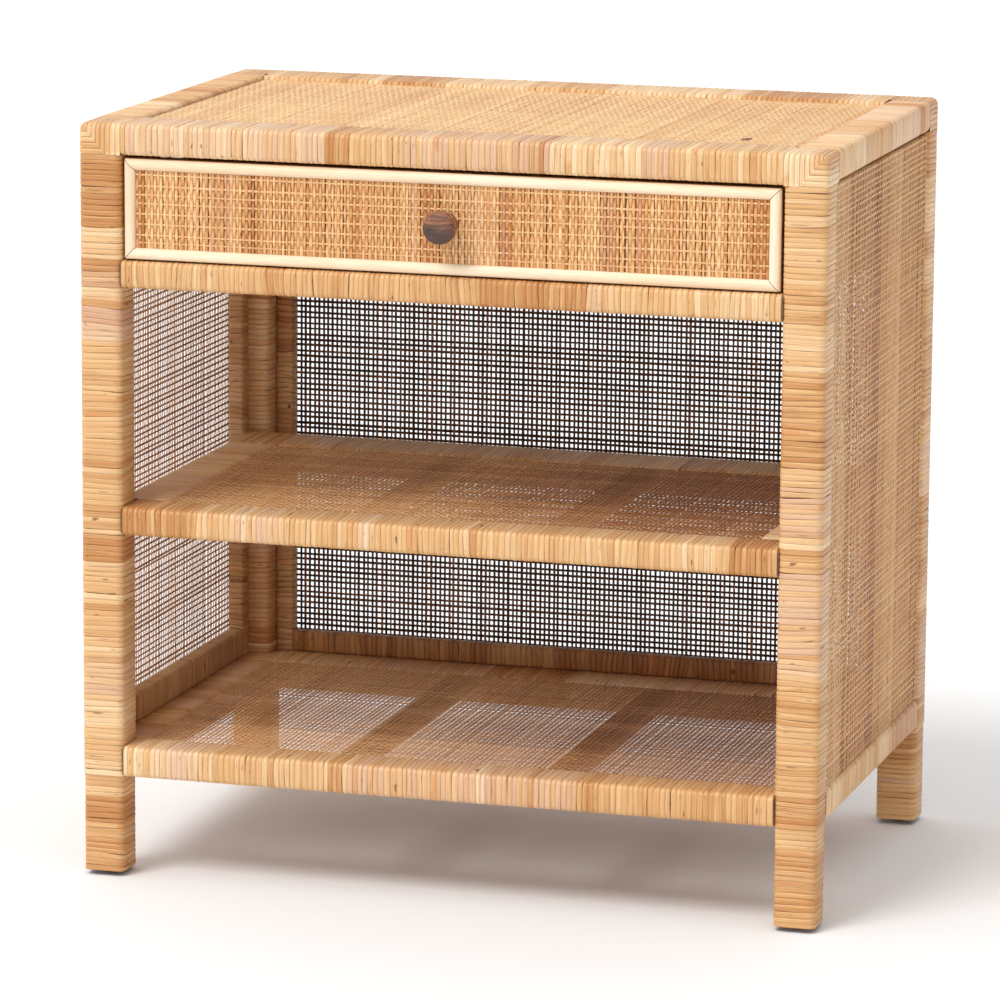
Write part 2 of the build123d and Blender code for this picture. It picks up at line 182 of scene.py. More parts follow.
# Peel: fine fibres and slow streaks along the strip, with knots, cracks and stains here and there.
# Strip is (distance along, distance across) in metres; Tone, Blush and Stain are set per strip.
# A Stain above 1 is a knot, a dent or painted shade at a sheet's edge, and goes to the knots'
# colour.
peel_skin, ins, out = effect(
    "peel skin",
    {"Strip": (0.0, 0.0, 0.0), "Tone": 0.5, "Blush": 0.0, "StainAndShade": 0.0,
     "Pale": colour(250, 218, 174), "Tan": colour(230, 182, 126), "Deep": colour(198, 136, 78),
     "Blushed": colour(226, 184, 156), "Smudge": colour(208, 136, 70), "Knot": colour(110, 62, 28)},
    {"Colour": "Color", "Roughness": "Float", "Height": "Float"},
)
fibres = noise(peel_skin, ins["Strip"], 1.0, 2.0, (30.0, 2400.0, 1.0))
streaks = noise(peel_skin, ins["Strip"], 1.0, 2.0, (14.0, 420.0, 1.0))
patches = noise(peel_skin, ins["Strip"], 1.0, 3.0, (26.0, 40.0, 1.0))
specks = noise(peel_skin, ins["Strip"], 1.0, 1.0, (110.0, 420.0, 1.0))
cracks = noise(peel_skin, ins["Strip"], 1.0, 2.0, (60.0, 900.0, 1.0))
tone = maths(peel_skin, "MULTIPLY_ADD", streaks, 0.7, maths(peel_skin, "ADD", ins["Tone"], -0.35))
tone = maths(peel_skin, "MULTIPLY_ADD", patches, 0.3, maths(peel_skin, "ADD", tone, -0.15))
skin = mixed(peel_skin, remap(peel_skin, tone, 0.0, 0.5, 0.0, 1.0), ins["Deep"], ins["Tan"])
skin = mixed(peel_skin, remap(peel_skin, tone, 0.42, 0.95, 0.0, 1.0), skin, ins["Pale"])
skin = mixed(peel_skin, ins["Blush"], skin, ins["Blushed"])
shadow = remap(peel_skin, fibres, 0.3, 0.6, 0.78, 1.0)
grey = node(peel_skin, "CombineColor", {0: shadow, 1: shadow, 2: shadow}).outputs[0]
skin = mixed(peel_skin, 1.0, skin, grey, "MULTIPLY")
stained = maths(peel_skin, "MULTIPLY", remap(peel_skin, patches, 0.5, 0.62, 0.0, 1.0),
                maths(peel_skin, "MULTIPLY_ADD", ins["StainAndShade"], 0.7, 0.12))
skin = mixed(peel_skin, stained, skin, ins["Smudge"])
knots = maths(peel_skin, "MULTIPLY", remap(peel_skin, specks, 0.68, 0.76, 0.0, 0.8),
              remap(peel_skin, patches, 0.46, 0.6, 0.2, 1.0))
split = maths(peel_skin, "MULTIPLY", remap(peel_skin, cracks, 0.66, 0.72, 0.0, 0.6),
              remap(peel_skin, streaks, 0.4, 0.6, 0.2, 1.0))
marks = maths(peel_skin, "MAXIMUM", maths(peel_skin, "MAXIMUM", split, knots),
              remap(peel_skin, ins["StainAndShade"], 1.0, 2.0, 0.0, 1.0))
finish_outputs(
    peel_skin, out,
    Colour=mixed(peel_skin, marks, skin, ins["Knot"]),
    Roughness=maths(peel_skin, "MULTIPLY_ADD", streaks, 0.2, 0.3),
    Height=fibres,
)


def peel_material(name, **colours):
    """Satin peel. It reads each strip's own map and the tone, blush and stain set on its points,
    which carry painted shade in places.
    """
    material = bpy.data.materials.new(name)
    material.use_nodes = True
    tree = material.node_tree
    shader = tree.nodes["Principled BSDF"]
    skin = tree.nodes.new("ShaderNodeGroup")
    skin.node_tree = peel_skin
    for label, value in colours.items():
        skin.inputs[label].default_value = value
    strip = node(tree, "UVMap", uv_map="Strip")
    tree.links.new(strip.outputs[0], skin.inputs["Strip"])
    mood = node(tree, "Attribute", attribute_name="mood")
    parts = node(tree, "SeparateXYZ", {0: mood.outputs["Vector"]})
    for place, label in enumerate(("Tone", "Blush", "StainAndShade")):
        tree.links.new(parts.outputs[place], skin.inputs[label])
    bump = node(tree, "Bump", {"Height": skin.outputs["Height"], "Strength": 0.5,
                               "Distance": 0.1 * MM})
    tree.links.new(skin.outputs["Colour"], shader.inputs["Base Color"])
    tree.links.new(skin.outputs["Roughness"], shader.inputs["Roughness"])
    tree.links.new(bump.outputs[0], shader.inputs["Normal"])
    shader.inputs["Specular IOR Level"].default_value = 0.4
    return material


def moods(rng, count, block=9.0):
    """Tone, blush and stain of each strip. A length of like strips, block of them on average, is
    cut from one cane: it has one tone and may be flushed pink. Each strip differs a little."""
    starts = rng.random(count) < 1.0 / block
    cane = np.cumsum(starts)
    tones = [0.15, 0.34, 0.46, 0.56, 0.7]
    shares = [0.1, 0.22, 0.26, 0.26, 0.16]
    flushed_share, flush = 0.22, 0.7
    stained_share, stained = 0.08, 0.6
    tone = rng.choice(tones, size=cane[-1] + 1, p=shares)[cane] + rng.normal(0.0, 0.09, count)
    is_flushed = rng.random(cane[-1] + 1) < flushed_share
    blush = np.where(is_flushed, flush, 0.0)[cane] * rng.random(count)
    stain = np.where(rng.random(count) < stained_share, stained, 0.0)
    return np.stack([tone, blush, stain], 1)


def strips_to_set(places, length, width, mood, flip=False):
    """Quads over places[strip, along, across]: each strip is a ribbon, mapped 0 to 1 both ways.
    length and width are its size in metres. flip turns the faces over."""
    count, along, across = places.shape[:3]
    index = np.arange(count * along * across).reshape(count, along, across)
    corners = [index[:, :-1, :-1], index[:, 1:, :-1], index[:, 1:, 1:], index[:, :-1, 1:]]
    s = np.linspace(0.0, 1.0, along)
    u = np.linspace(0.0, 1.0, across)
    shape = (count, along - 1, across - 1)
    ends = [(s[:-1, None], u[None, :-1]), (s[1:, None], u[None, :-1]),
            (s[1:, None], u[None, 1:]), (s[:-1, None], u[None, 1:])]
    maps = [np.stack([np.broadcast_to(a, shape), np.broadcast_to(b, shape)], -1) for a, b in ends]
    quads = np.stack(corners, -1).reshape(-1, 4)
    uv = np.stack(maps, 3).reshape(-1, 4, 2)
    if flip:
        quads, uv = quads[:, ::-1], uv[:, ::-1]
    patch = np.repeat(np.arange(count), (along - 1) * (across - 1))
    spread = mood if mood.ndim == 4 else mood[:, None, None]
    spread = np.broadcast_to(spread, (*places.shape[:3], 3)).reshape(-1, 3).copy()
    return dict(co=places.reshape(-1, 3), quads=quads, uv=uv, patch=patch, mood=spread,
                size=(length, width), patches=count)


def ribbon_piece(name, sets, material, body, stands_for=(), columns=4):
    """One mesh of many ribbons. Its Strip map is in metres, moved on from each ribbon to the next,
    so that no two look the same. OFBake packs the ribbons side by side, in rows and columns."""
    co = np.concatenate([s["co"] for s in sets])
    first = np.cumsum([0] + [len(s["co"]) for s in sets[:-1]])
    quads = np.concatenate([s["quads"] + f for s, f in zip(sets, first)])
    uv = np.concatenate([s["uv"] for s in sets])
    first_patch = np.cumsum([0] + [s["patches"] for s in sets])
    patch = np.concatenate([s["patch"] + f for s, f in zip(sets, first_patch)])
    size = np.concatenate([np.tile(s["size"], (len(s["quads"]), 1)) for s in sets])
    mesh = bpy.data.meshes.new(name)
    mesh.from_pydata(co.tolist(), [], quads.tolist())
    moved = np.stack([patch * 0.37, patch * 0.011], 1)
    metres = uv * size[:, None, :] + moved[:, None, :]
    mesh.uv_layers.new(name="Strip").data.foreach_set("uv", metres.astype(np.float32).ravel())
    rows = math.ceil(first_patch[-1] / columns)
    corner = np.stack([patch % columns, patch // columns], 1)[:, None, :]
    margin = 0.04
    packed = (corner + margin + (1 - 2 * margin) * uv) / np.array([columns, rows])
    mesh.uv_layers.new(name="OFBake").data.foreach_set("uv", packed.astype(np.float32).ravel())
    mood = mesh.attributes.new("mood", "FLOAT_VECTOR", "POINT")
    values = np.concatenate([s["mood"] for s in sets])
    mood.data.foreach_set("vector", values.astype(np.float32).ravel())
    mesh.polygons.foreach_set("use_smooth", np.ones(len(quads), bool))
    mesh.materials.append(material)
    mesh.validate()
    piece = bpy.data.objects.new(name, mesh)
    bpy.context.scene.collection.objects.link(piece)
    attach(piece, body)
    if stands_for:
        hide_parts(*stands_for)


# ---- The legs' winding: peel wound round and round each post, glued and nailed at its ends. At the
# ---- height of each rail the strips start a new band, with a dark line above and below it.

peel_thickness = 1.2 * MM
peel_width = 4.4 * MM
# Across a strip: the side wall, the edge, the crown and back, as shares of the width, the depth and
# the crown's height. The side walls stop just short of the wood.
across_share = np.array([0.0, 0.0, 0.26, 0.5, 0.74, 1.0, 1.0])
across_depth = np.array([1.0, 0.0, 0.0, 0.0, 0.0, 0.0, 1.0])
across_crown = np.array([1.0, 1.0, 0.24, 0.0, 0.24, 1.0, 1.0])
foot_of_side = 0.97


def outline(low, high, radius, seam=0):
    """A rectangle with round corners, walked once round from the corner numbered seam: four points
    to a corner and one on each flat. Gives the centres that the points lie a radius away from, and
    the outward directions at them."""
    x0, y0 = low + radius
    x1, y1 = high - radius
    centres = np.array([(x1, y0), (x1, y1), (x0, y1), (x0, y0)])
    turn = np.radians(np.arange(4)[:, None] * 90.0 - 90.0 + np.array([0.0, 30.0, 60.0, 90.0]))
    away = np.stack([np.cos(turn), np.sin(turn)], -1)
    flat = (centres + np.roll(centres, -1, 0)) / 2
    middle = np.concatenate([np.repeat(centres[:, None], 4, 1), flat[:, None]], 1)
    out = np.concatenate([away, away[:, -1:]], 1)
    middle = np.roll(middle, -seam, 0).reshape(-1, 2)
    out = np.roll(out, -seam, 0).reshape(-1, 2)
    return np.concatenate([middle, middle[:1]]), np.concatenate([out, out[:1]])


def smooth_steps(rng, count, size, width=5):
    """Random numbers that change slowly from one to the next: a running mean of free ones."""
    free = rng.normal(0.0, size, count + width - 1)
    return np.convolve(free, np.ones(width) / math.sqrt(width), "valid")


def wound(low, high, along, radius, rng, pitch=peel_width, thickness=peel_thickness,
          crown=0.26 * MM, lean=0.55 * MM, gap=0.13 * MM, sunk=0.0):
    """Peel wound round a bar from low to high: turn i fills the length between two slightly
    slanting lines, and its section is a crowned strip with upright sides that reach down to the
    wood. lean is how far a line wanders, gap the usual opening between turns, and sunk draws all
    of it in."""
    axis = "XYZ".index(along)
    p, q = (axis + 1) % 3, (axis + 2) % 3
    low, high = np.array(low, float), np.array(high, float)
    low[[p, q]] += sunk
    high[[p, q]] -= sunk
    start, end = low[axis], high[axis]
    count = max(1, round((end - start) / pitch))
    widths = 1.0 + rng.normal(0.0, 0.11, count).clip(-0.3, 0.3)
    line = start + np.concatenate([[0.0], np.cumsum(widths)]) / widths.sum() * (end - start)
    middle, out = outline(low[[p, q]], high[[p, q]], radius, {"X": 0, "Y": 3, "Z": 2}[along])
    step = np.linalg.norm(np.diff(middle + radius * out, axis=0), axis=1)
    round_share = np.concatenate([[0.0], np.cumsum(step)]) / step.sum()
    angle = 2 * math.pi * round_share
    # The lines near the bar's two ends are square to it, and the others slant round it.
    held = np.minimum(np.arange(count + 1), np.arange(count + 1)[::-1]).clip(0, 3) / 3.0
    any_turn = 6.3
    size = smooth_steps(rng, count + 1, lean)[:, None]
    once = size * np.cos(angle + rng.random() * any_turn)
    size = smooth_steps(rng, count + 1, lean)[:, None]
    twice = size * np.sin(2 * angle + rng.random() * any_turn)
    line = line[:, None] + (once + 0.6 * twice) * held[:, None]
    openness = rng.exponential(0.9, count + 1)[:, None]
    waver = 1 + 0.7 * np.cos(3 * angle + rng.random(count + 1)[:, None] * any_turn)
    open_gap = gap * (0.3 + openness * waver)
    first = line[:-1] + open_gap[:-1] / 2
    last = line[1:] - open_gap[1:] / 2
    s = first[..., None] + across_share * (last - first)[..., None]
    lower = np.abs(rng.normal(0.0, 0.09 * MM, count)).clip(0, 0.25 * MM)
    depth = (across_crown * crown)[None, :] + lower[:, None]
    depth = np.where(across_depth > 0, thickness * foot_of_side, depth)
    reach = radius - depth[:, None, :]
    places = np.empty((count, len(middle), len(across_share), 3))
    places[..., axis] = s
    places[..., p] = middle[None, :, None, 0] + reach * out[None, :, None, 0]
    places[..., q] = middle[None, :, None, 1] + reach * out[None, :, None, 1]
    return strips_to_set(places, step.sum(), (end - start) / count, moods(rng, count))


def post(name, low, high, radius):
    """A square post with round corners: its outline at two heights, joined, and closed at both
    ends. It stands in for a CAD leg that is a little too tall for the mitred corner over it."""
    middle, out = outline(np.array(low[:2]), np.array(high[:2]), radius)
    ring = (middle + radius * out)[:-1]
    count = len(ring)
    low_end = np.arange(count)
    after = np.roll(low_end, -1)
    co = np.concatenate([np.column_stack([ring, np.full(count, z)]) for z in (low[2], high[2])])
    faces = np.stack([low_end, after, after + count, low_end + count], 1).tolist()
    mesh = bpy.data.meshes.new(name)
    mesh.from_pydata(co.tolist(), [], faces + [low_end[::-1].tolist(), (low_end + count).tolist()])
    mesh.materials.append(upright_wood)
    piece = bpy.data.objects.new(name, mesh)
    bpy.context.scene.collection.objects.link(piece)
    return piece


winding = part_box("leg_winding")
front, back = winding[0].y, winding[1].y
half = winding[1].x
z_floor_end, z_rim = winding[0].z, winding[1].z
leg = 35 * MM
leg_corner = 6 * MM
inner = half - leg
rail_level = {
    "top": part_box("top_rail_front"), "drawer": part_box("drawer_rail"),
    "middle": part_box("middle_rail_front"), "bottom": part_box("bottom_rail_front"),
}
levels = {k: (b[0].z - peel_thickness, b[1].z + peel_thickness) for k, b in rail_level.items()}
band_ends = [z_floor_end, *levels["bottom"], *levels["middle"], *levels["drawer"],
             levels["top"][0]]
foot_thinning = 0.5 * MM
foot_painted_shade = 0.18
leg_duller = 0.08
core_top = z_rim - 3.2 * MM
rng = np.random.default_rng(11)
peel = peel_material("rattan peel")
for side, x0 in (("left", -half), ("right", inner)):
    for place, y0 in (("front", front), ("back", back - leg)):
        sets = []
        for z0, z1 in zip(band_ends[:-1], band_ends[1:]):
            is_foot = z0 == z_floor_end
            band = wound((x0, y0, z0), (x0 + leg, y0 + leg, z1), "Z", leg_corner, rng,
                         sunk=foot_thinning if is_foot else 0.0)
            # Painted shade: the foot bands' tone is lowered, as shade near the floor; the other
            # bands' a little.
            band["mood"][:, 0] -= foot_painted_shade if is_foot else leg_duller
            sets.append(band)
        core = post("leg_core_" + place + "_" + side,
                    (x0 + peel_thickness, y0 + peel_thickness, z_floor_end),
                    (x0 + leg - peel_thickness, y0 + leg - peel_thickness, core_top),
                    leg_corner - peel_thickness)
        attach(core, "carcass")
        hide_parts("leg_" + place + "_" + side)
        stands_for = ("leg_winding",) if (side, place) == ("left", "front") else ()
        ribbon_piece("leg_peel_" + place + "_" + side, sets, peel, "carcass",
                     stands_for)

# ---- The top frame's winding, of the same peel. Each corner is mitred: the strips come over the
# ---- edge, run down beside the rail and turn in nested Ls to go on round the leg.


def pulled_round(a, b, c, radius, depth):
    """A point on a sharp block, drawn in to the same block with round edges: the nearest point of a
    smaller block inside it, plus the radius less the depth, towards the point. a is the way out to
    the side, b down from the rim and c in from the face."""
    inside = [np.minimum(a, leg - radius), np.maximum(b, radius), np.maximum(c, radius)]
    inside = np.stack(inside, -1)
    away = np.stack([a, b, c], -1) - inside
    away = away / np.linalg.norm(away, axis=-1, keepdims=True)
    return inside + (radius - depth)[..., None] * away


def corner_strips(rng, straight=3, nested=6, gap=0.03, crown=0.27 * MM):
    """Straight strips, then Ls whose turns lie on a slanting line up to the outer corner. Strip i
    fills the space between turn i and turn i + 1, so each is mitred by itself."""
    height = z_rim - levels["top"][0]
    first_turn = 12.6 * MM
    bend = 1.12
    turn_a = np.linspace(first_turn, leg, nested + 1)
    turn_b = height * (1 - (turn_a - first_turn) / (leg - first_turn)) ** bend
    edge_a = np.concatenate([np.linspace(0.0, turn_a[0], straight + 1)[:-1], turn_a])
    edge_b = np.concatenate([np.full(straight, height), turn_b])
    count = len(edge_a) - 1
    share = gap + across_share * (1 - 2 * gap)
    a = edge_a[:-1, None] + share * np.diff(edge_a)[:, None]
    b = edge_b[:-1, None] + share * np.diff(edge_b)[:, None]
    over = np.array([35.0, 27.0, 18.0, 10.0, 6.0, 4.4, 2.8, 1.2, 0.0]) * MM
    ones = np.ones((count, 1, len(share)))
    down = np.linspace(0.12, 1.0, 6)[None, :, None]
    out = np.linspace(0.0, 1.0, 7)[1:][None, :, None]
    is_l = (np.arange(count) >= straight)[:, None, None]
    path_a = [a[:, None] * np.ones((1, 9, 1)), a[:, None] * np.ones((1, 6, 1)),
              np.where(is_l, a[:, None] + out * (leg - a[:, None]), a[:, None]),
              np.where(is_l, leg, a[:, None]) * np.ones((1, 9, 1))]
    path_b = [ones * np.zeros((1, 9, 1)), b[:, None] * down,
              b[:, None] * np.ones((1, 6, 1)), b[:, None] * np.ones((1, 9, 1))]
    path_c = [ones * over[None, :, None], ones * np.zeros((1, 6, 1)), ones * np.zeros((1, 6, 1)),
              np.where(is_l, ones * over[::-1][None, :, None], 0.0)]
    a, b, c = (np.concatenate(parts, 1) for parts in (path_a, path_b, path_c))
    depth = np.where(across_depth > 0, peel_thickness * foot_of_side, across_crown * crown)
    return pulled_round(a, b, c, leg_corner, np.broadcast_to(depth, a.shape))


corner_length = 120 * MM
for side, sign_x in (("left", -1), ("right", 1)):
    for place, face, sign_y in (("front", front, 1), ("back", back, -1)):
        local = corner_strips(rng)
        turned = np.stack([sign_x * (inner + local[..., 0]), face + sign_y * local[..., 2],
                           z_rim - local[..., 1]], -1)
        corner = strips_to_set(turned, corner_length, peel_width, moods(rng, len(turned), 3.0),
                               flip=sign_x * sign_y < 0)
        ribbon_piece("corner_peel_" + place + "_" + side, [corner], peel, "carcass")

rail_corner = 4.5 * MM
top_depth = 50 * MM
sets = []
top_low, top_high = levels["top"]
for y0 in (front, back - top_depth):
    sets.append(wound((-inner, y0, top_low), (inner, y0 + top_depth, top_high), "X",
                      rail_corner, rng))
for x0 in (-half, inner):
    sets.append(wound((x0, front + leg, top_low), (x0 + leg, back - leg, top_high), "Y",
                      rail_corner, rng, gap=0.1 * MM, crown=0.22 * MM))
ribbon_piece("top_frame_peel", sets, peel, "carcass", ("top_frame_winding",))

# ---- The drawer rail's winding, the same peel. The rail joins the two front legs under the drawer,
# ---- and was wound before it was joined.
drawer_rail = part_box("drawer_rail_winding")
sets = [wound(drawer_rail[0], drawer_rail[1], "X", rail_corner, rng)]
ribbon_piece("drawer_rail_peel", sets, peel, "carcass", ("drawer_rail_winding",))

# ---- The two shelf frames: four rails each, wound before they were joined, so the strips of the
# ---- front and back rails stop at the side rails.


def wound_rail(name, along, rng, ends=(0.0, 0.0), **how):
    """The winding of a rail: its core's box, larger by the peel, with its ends moved as asked."""
    low, high = (np.array(corner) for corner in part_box(name))
    axis = "XYZ".index(along)
    for other in {0, 1, 2} - {axis}:
        low[other] -= peel_thickness
        high[other] += peel_thickness
    low[axis] += ends[0]
    high[axis] -= ends[1]
    return wound(low, high, along, rail_corner, rng, **how)


shelf_sets = {"middle": [], "bottom": []}
clear_of_peel = (peel_thickness, peel_thickness)
for level, found in shelf_sets.items():
    for place in ("front", "back"):
        ends = (0.0, 0.0) if (level, place) == ("middle", "back") else clear_of_peel
        found.append(wound_rail(level + "_rail_" + place, "X", rng, ends))
    for side in ("left", "right"):
        found.append(wound_rail(level + "_rail_" + side, "Y", rng, clear_of_peel))
ribbon_piece("middle_shelf_peel", shelf_sets["middle"], peel, "carcass",
             ("shelf_frame_winding",))
ribbon_piece("bottom_shelf_peel", shelf_sets["bottom"], peel, "carcass")

# ---- The thin frames of the side and back panels, wound with the same peel, thinner and in
# ---- darker colours that are painted shade, and nailed between the legs.
panel_skin = 1.0 * MM
panel_corner = 3 * MM
panel_parts = [(n, "Z") for n in nodes if "stile" in n]
panel_parts += [(n, "Y") for n in nodes if n.startswith(("side_lower", "side_upper"))]
panel_parts += [("back_lower_rail", "X"), ("back_upper_rail", "X")]
sets = {"side": [], "back": []}
nail_rng = np.random.default_rng(5)
for name, along in panel_parts:
    low, high = (np.array(corner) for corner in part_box(name))
    for other in {0, 1, 2} - {"XYZ".index(along)}:
        low[other] -= panel_skin
        high[other] += panel_skin
    member = wound(low, high, along, panel_corner, rng, pitch=4.6 * MM, thickness=panel_skin,
                   crown=0.3 * MM)
    # Painted shade: the back lower rail's tone is lowered; the other members' is raised a little.
    member["mood"][:, 0] += -0.3 if name == "back_lower_rail" else 0.1
    # Two or three strips of each member have a dark dent, where a small nail was driven in.
    turns = member["mood"].reshape(member["patches"], -1, len(across_share), 3)
    dents = nail_rng.integers(0, turns.shape[:2], (3, 2))
    turns[dents[:, 0], dents[:, 1], 2:5, 2] = 2.4
    sets[name[:4]].append(member)
panel_shaded_peel = peel_material("rattan peel with painted shade", Pale=colour(226, 186, 140),
                          Tan=colour(200, 150, 98), Deep=colour(160, 104, 58),
                          Blushed=colour(196, 150, 120))
ribbon_piece("side_panel_peel", sets["side"], panel_shaded_peel, "carcass",
             ("panel_frame_winding",))
ribbon_piece("back_panel_peel", sets["back"], panel_shaded_peel, "carcass")

# ---- The sides' and the back's woven cane: flat strands, over one and under one. The sheets are
# ---- soaked, stretched over the outer faces of the thin frames and glued.


def strands(centres, stations, lift, half_width, half_thick, axes, level, rng):
    """Flat strands with a face, two slanting sides and a flat back: strand i runs through its
    stations, lifted or sunk at each. axes are the ways along, across and out of the sheet."""
    along, across, normal = axes
    count, steps = lift.shape
    ring = np.array([(1.0, -1.0), (0.66, 1.0), (-0.66, 1.0), (-1.0, -1.0), (1.0, -1.0)])
    drift = smooth_steps(rng, count * steps, 0.04 * MM, 7).reshape(count, steps)
    middle = (centres[:, None] + drift)[..., None]
    places = np.empty((count, steps, len(ring), 3))
    places[..., along] = np.broadcast_to(stations, (count, steps))[..., None]
    places[..., across] = middle + half_width[..., None] * ring[:, 0]
    places[..., normal] = level + lift[..., None] + half_thick * ring[:, 1]
    return places


def weave(span_u, span_v, axes, face, out, pitch, half_width, half_thick, rng, tones, vary,
          wander=0.06, subdivide=1, bulge=0.06, painted_lift_shade=0.12, painted_back_shade=0.5, painted_edge_shade=0.0):
    """A plain weave: strands along v at each u place, and along u at each v place. Where strand i
    crosses strand k it is lifted if i + k is even, and sunk if it is odd. The highest strand
    touches the face, and out (1 or -1) is the way that the face looks. Each pair holds a value for
    the strands along v, then one for those along u: pitch, half width, half thickness, tone and how
    much the tone varies. Painted shade makes lifted points paler, sunk points, backs and u ends
    darker."""
    level = face - out * (half_thick[0] + half_thick[1])
    grid = []
    for span, step in zip((span_u, span_v), pitch):
        count = max(2, round((span[1] - span[0]) / step))
        even = span[0] + (np.arange(count) + 0.5) * (span[1] - span[0]) / count
        grid.append(even + rng.normal(0.0, wander * step, count))
    found = []
    for which in (0, 1):
        own, other = grid[which], grid[1 - which]
        span = (span_u, span_v)[1 - which]
        amount = half_thick[1 - which]
        steps = subdivide if which == 0 else 1
        gaps = np.diff(other, append=other[-1] + (other[-1] - other[-2]))
        part = (np.arange(steps) / steps)[None, :]
        stations = (other[:, None] + gaps[:, None] * part).ravel()
        stations = np.concatenate([[span[0]], stations[stations < span[1]], [span[1]]])
        phase = np.arange(len(stations)) - 1
        sign = 1 if which == 0 else -1
        wave = np.cos(math.pi * (phase[None, :] / steps + np.arange(len(own))[:, None])) * sign
        lift = np.clip(wave * 1.3, -1, 1) * amount * out
        lift[:, [0, -1]] = 0.0
        width = half_width[which] * (1 + rng.normal(0.0, 0.1, len(own)).clip(-0.25, 0.25))[:, None]
        width = width * (1 + bulge * wave)
        u, v, normal = axes
        along, across = (v, u) if which == 0 else (u, v)
        places = strands(own, stations, lift, width, half_thick[which] * out,
                         (along, across, normal), level, rng)
        right_handed = (across + 1) % 3 == normal
        mood = np.repeat(moods(rng, len(own), 4.0)[:, None], places[0, ..., 0].size, 1)
        mood = mood.reshape(places.shape) * (1.0, 0.5, 1.0)
        mood[..., 0] = tones[which] + (mood[..., 0] - 0.5) * vary[which]
        # Painted shade: tone rises on lifted points and falls on sunk ones, and falls on the
        # strands' backs.
        mood[..., 0] += painted_lift_shade * wave[..., None]
        mood[..., [0, 3, 4], 0] -= painted_back_shade
        # Painted shade at the two u ends, where the sheet dips at its edges.
        if painted_edge_shade:
            inset = np.minimum(places[..., u] - span_u[0], span_u[1] - places[..., u])
            mood[..., 2] += 1.9 * np.exp(-(inset.clip(0) / painted_edge_shade) ** 2)
        found.append(strips_to_set(places, span[1] - span[0], half_width[which] * 4, mood,
                                   flip=right_handed == (out > 0)))
    return found


open_cane = peel_material("open cane", Pale=colour(250, 210, 158), Tan=colour(228, 172, 114),
                          Deep=colour(160, 102, 56), Blushed=colour(220, 168, 134))
strand_half = (0.85 * MM, 0.85 * MM)
X, Y, Z = 0, 1, 2
z_panel = (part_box("side_cane_right")[0].z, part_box("side_cane_right")[1].z)
for side, sign, thick in (("left", -1, 0.18 * MM), ("right", 1, 0.27 * MM)):
    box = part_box("side_cane_" + side)
    outer = max(abs(box[0].x), abs(box[1].x))
    found = weave((box[0].y, box[1].y), z_panel, (Y, Z, X), sign * outer, sign,
                  (4.0 * MM, 4.7 * MM), strand_half, (thick, thick), rng, (0.52, 0.6), (1.0, 0.5),
                  wander=0.1, painted_back_shade=0.2)
    ribbon_piece("side_cane_strands_" + side, found, open_cane, "carcass",
                 ("side_cane_" + side,), columns=1)

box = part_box("back_cane")
back_half = (0.97 * MM, 0.97 * MM)
back_thick = (0.18 * MM, 0.18 * MM)
found = weave((box[0].x, box[1].x), z_panel, (X, Z, Y), box[1].y, 1,
              (4.0 * MM, 4.75 * MM), back_half, back_thick, rng, (0.5, 0.56), (0.6, 0.6),
              painted_back_shade=2.0)
# Painted shade: the near-black Deep colour and the large back shade darken the strands' inward
# faces, as inside the cabinet.
back_cane_shaded = peel_material("open cane, dark back", Pale=colour(240, 200, 150),
                          Tan=colour(214, 160, 106), Deep=colour(70, 40, 22),
                          Blushed=colour(206, 156, 124))
for name, strips, stands_for in (("back_cane_uprights", found[:1], ("back_cane",)),
                                 ("back_cane_crosswise", found[1:], ())):
    ribbon_piece(name, strips, back_cane_shaded, "carcass", stands_for, columns=1)

# ---- The shelves' cane: the same open sheets, let into the rails. Each lies on two slats of
# ---- sawn wood that run from front to back. Its colour is painted darker to the right, as shade.
shelf_shade_from, shelf_shade_to = -60 * MM, 140 * MM
for level_name, thick in (("middle", 0.24 * MM), ("bottom", 0.19 * MM)):
    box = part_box(level_name + "_shelf_cane")
    found = weave((box[0].x, box[1].x), (box[0].y, box[1].y), (X, Y, Z), box[1].z, 1,
                  (4.0 * MM, 4.4 * MM), strand_half, (thick, thick), rng, (0.46, 0.5), (0.6, 0.6),
                  wander=0.1)
    for strip in found:
        # Painted shade: the strands' tone falls towards the right of the shelf.
        shade_to_right = ((strip["co"][:, 0] - shelf_shade_from) / (shelf_shade_to - shelf_shade_from)).clip(0.0, 1.0)
        strip["mood"][:, 0] -= 0.4 * shade_to_right
    ribbon_piece(level_name + "_cane_strands", found, open_cane, "carcass",
                 (level_name + "_shelf_cane",), columns=1)
slat_wood = wood("slat wood", colour(205, 165, 118), colour(150, 108, 66), "Y")
dress(("middle_shelf_slats", "bottom_shelf_slats"), slat_wood)

# ---- The top: close-woven cane glued over a thin board, so only dark specks show between the
# ---- strands. It is let into the rails, a little below the rim.
close_cane = peel_material("close cane", Pale=colour(250, 208, 152), Tan=colour(226, 168, 108),
                           Deep=colour(186, 118, 62), Blushed=colour(218, 164, 134))
close_pitch = (2.5 * MM, 7.2 * MM)
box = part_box("top_cane")
under_rail = 1 * MM
top_span = (front + top_depth - under_rail, back - top_depth + under_rail)
# The top's two side edges get painted shade, where the cane dips into the groove beside the rails.
found = weave((-inner, inner), top_span, (X, Y, Z), box[1].z, 1, close_pitch,
              (1.17 * MM, 0.9 * MM), (0.17 * MM, 0.17 * MM), rng,
              (0.7, 0.72), (0.35, 1.1), wander=0.08, subdivide=2, bulge=0.03, painted_lift_shade=0.1,
              painted_back_shade=0.9, painted_edge_shade=3.2 * MM)
# One strand has a knot: a small grey-brown mark near the front right corner.
knot_place, knot_reach = (212.6 * MM, -89.2 * MM), (4.5 * MM, 9.0 * MM)
for strip in found:
    away = np.linalg.norm((strip["co"][:, :2] - knot_place) / knot_reach, axis=1)
    strip["mood"][away < 1.0, 2] = 1.9
